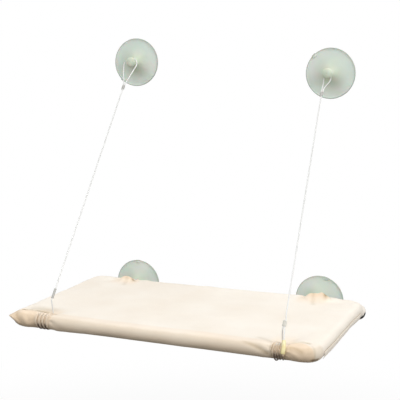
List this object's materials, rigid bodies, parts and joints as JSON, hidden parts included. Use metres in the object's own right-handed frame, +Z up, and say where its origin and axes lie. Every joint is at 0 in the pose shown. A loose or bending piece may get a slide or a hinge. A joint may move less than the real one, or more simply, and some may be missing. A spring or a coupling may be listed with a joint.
{
  "type": "window mounted cat perch",
  "caption": "Cat perch for a window: a fabric-covered tube frame hangs on coated cables from suction cups and folds up toward the glass.",
  "frame": {"origin": "on the glass, on the platform's centre line, at the height of the lower left suction cup's centre", "axes": "+Y into the glass, so the room is on the -Y side; +X to the right as seen from the room; +Z up"},
  "size_m": [0.61, 0.4023, 0.589],
  "materials": {
    "clear_vinyl": "soft, cloudy and glossy",
    "coated_cable": "stranded steel in a clear coat",
    "crimped_metal": "dull, crimped",
    "white_tube": "smooth",
    "black_elbow": "satin",
    "cream_canvas": "plain woven canvas",
    "yellow_sleeve": "semi-matt sleeve"
  },
  "bodies": {
    "root": {"upper_left_cup": "clear_vinyl", "upper_right_cup": "clear_vinyl", "lower_left_cup": "clear_vinyl", "lower_right_cup": "clear_vinyl", "left_cable_eye": "coated_cable", "right_cable_eye": "coated_cable", "left_upper_ferrule": "crimped_metal", "right_upper_ferrule": "crimped_metal", "left_cable_run": "coated_cable", "right_cable_run": "coated_cable", "left_rear_lashing": "coated_cable", "right_rear_lashing": "coated_cable", "left_rear_splice": "crimped_metal", "right_rear_splice": "crimped_metal"},
    "platform": {"front_tube": "white_tube", "rear_tube": "white_tube", "left_side_tube": "white_tube", "right_side_tube": "white_tube", "front_left_elbow": "black_elbow", "front_right_elbow": "black_elbow", "rear_left_elbow": "black_elbow", "rear_right_elbow": "black_elbow", "cover": "cream_canvas", "left_lower_ferrule": "crimped_metal", "right_lower_ferrule": "crimped_metal", "left_front_lashing": "coated_cable", "right_front_lashing": "coated_cable", "right_cable_sleeve": "yellow_sleeve"}
  },
  "joints": [
    {"name": "platform_fold", "type": "hinge", "parent": "root", "child": "platform", "pos_m": [0, -0.057, 0.008], "axis": [-1, 0, 0], "range_deg": [0, 95], "deforming": ["left_cable_run", "right_cable_run"]}
  ]
}
